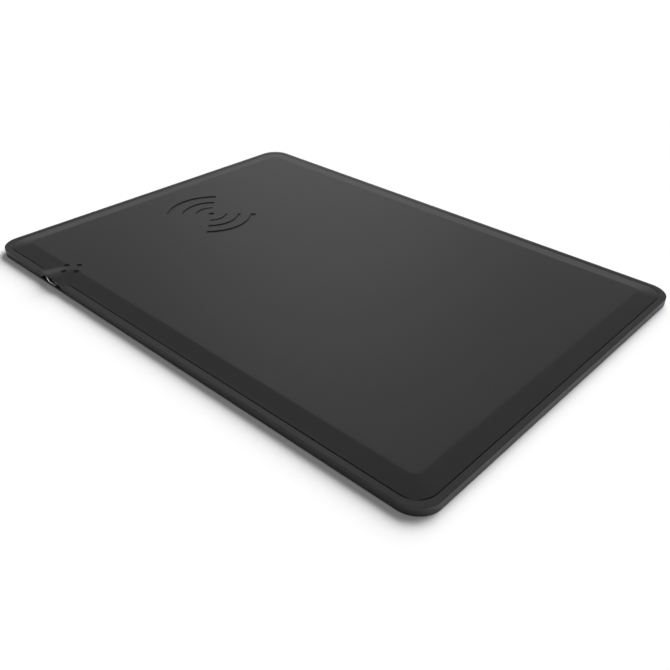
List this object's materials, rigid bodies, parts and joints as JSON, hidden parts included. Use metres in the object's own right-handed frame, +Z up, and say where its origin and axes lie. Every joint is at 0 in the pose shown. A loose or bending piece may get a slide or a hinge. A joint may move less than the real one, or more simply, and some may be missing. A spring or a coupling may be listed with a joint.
{
  "type": "wireless charging desk pad",
  "caption": "Thin rounded rectangular desk pad with a raised plateau, a pressed wireless-charging pictogram, a hooded power socket in one edge and an anti-slip mat below.",
  "frame": {"origin": "middle of the pad's outline, on the surface that it stands on", "axes": "+X along the long side, away from the charging end; -Y towards the edge that holds the power socket; +Z up"},
  "size_m": [0.24, 0.174, 0.005],
  "materials": {
    "soft_black_plastic": "fine soft-touch texture with a faint sheen",
    "mat_rubber": "matt, finely dimpled",
    "enamelled_copper": "stranded, clear enamel",
    "ferrite": "sintered, dull",
    "foam": "open-cell foam",
    "adhesive_film": "paper-backed film",
    "ceramic": "fired ceramic",
    "circuit_board": "green solder mask",
    "black_epoxy": "moulded epoxy",
    "nickel_steel": "nickel plated",
    "gold_plate": "gold plated",
    "lamp_body": "white lamp body",
    "smoked_window": "smoked clear plastic"
  },
  "bodies": {
    "root": {"top_cover": "soft_black_plastic", "bottom_cover": "soft_black_plastic", "anti_slip_mat": "mat_rubber", "coil_cushion_pad": "foam", "ferrite_shield": "ferrite", "transmitter_coil": "enamelled_copper", "coil_lead_inner": "enamelled_copper", "coil_lead_outer": "enamelled_copper", "coil_adhesive_film": "adhesive_film", "temperature_sensor": "ceramic", "main_board": "circuit_board", "controller_chip": "black_epoxy", "bridge_transistor_1": "black_epoxy", "bridge_transistor_2": "black_epoxy", "resonance_capacitor_1": "ceramic", "resonance_capacitor_2": "ceramic", "resonance_capacitor_3": "ceramic", "resonance_capacitor_4": "ceramic", "input_capacitor_1": "ceramic", "input_capacitor_2": "ceramic", "filter_inductor": "ferrite", "indicator_lamp_1": "lamp_body", "indicator_lamp_2": "lamp_body", "indicator_lamp_3": "lamp_body", "indicator_lamp_4": "lamp_body", "light_guide": "smoked_window", "usb_socket_shell": "nickel_steel", "usb_socket_tongue": "black_epoxy", "usb_contact_1": "gold_plate", "usb_contact_2": "gold_plate", "usb_contact_3": "gold_plate", "usb_contact_4": "gold_plate", "usb_contact_5": "gold_plate", "cover_screw_1": "nickel_steel", "cover_screw_2": "nickel_steel", "cover_screw_3": "nickel_steel", "cover_screw_4": "nickel_steel", "cover_screw_5": "nickel_steel", "cover_screw_6": "nickel_steel", "board_screw_1": "nickel_steel", "board_screw_2": "nickel_steel"}
  },
  "joints": []
}
